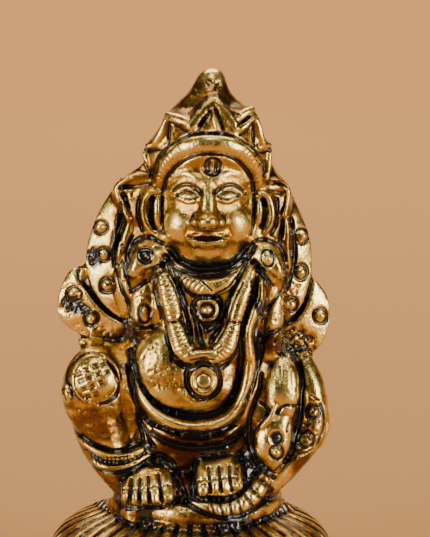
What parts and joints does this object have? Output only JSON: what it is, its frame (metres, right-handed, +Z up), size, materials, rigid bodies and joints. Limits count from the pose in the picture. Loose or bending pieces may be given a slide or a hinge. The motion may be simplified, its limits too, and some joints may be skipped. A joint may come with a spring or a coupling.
{
  "type": "seated deity figurine",
  "caption": "Small cast metal figure of a seated, pot-bellied god of wealth with leafed crown, garland and raised knees, on a round ribbed lotus base.",
  "frame": {"origin": "middle of the base's flat underside", "axes": "+Z up through the crown, the figure faces -Y, +X to the viewer's right when looking at its face"},
  "size_m": [0.032, 0.032, 0.0601],
  "materials": {
    "antique_brass": "antique gold brass, rubbed bright on the high places, with black gloss patina in the recesses"
  },
  "bodies": {
    "root": {"kubera_statue": "antique_brass"}
  },
  "joints": []
}
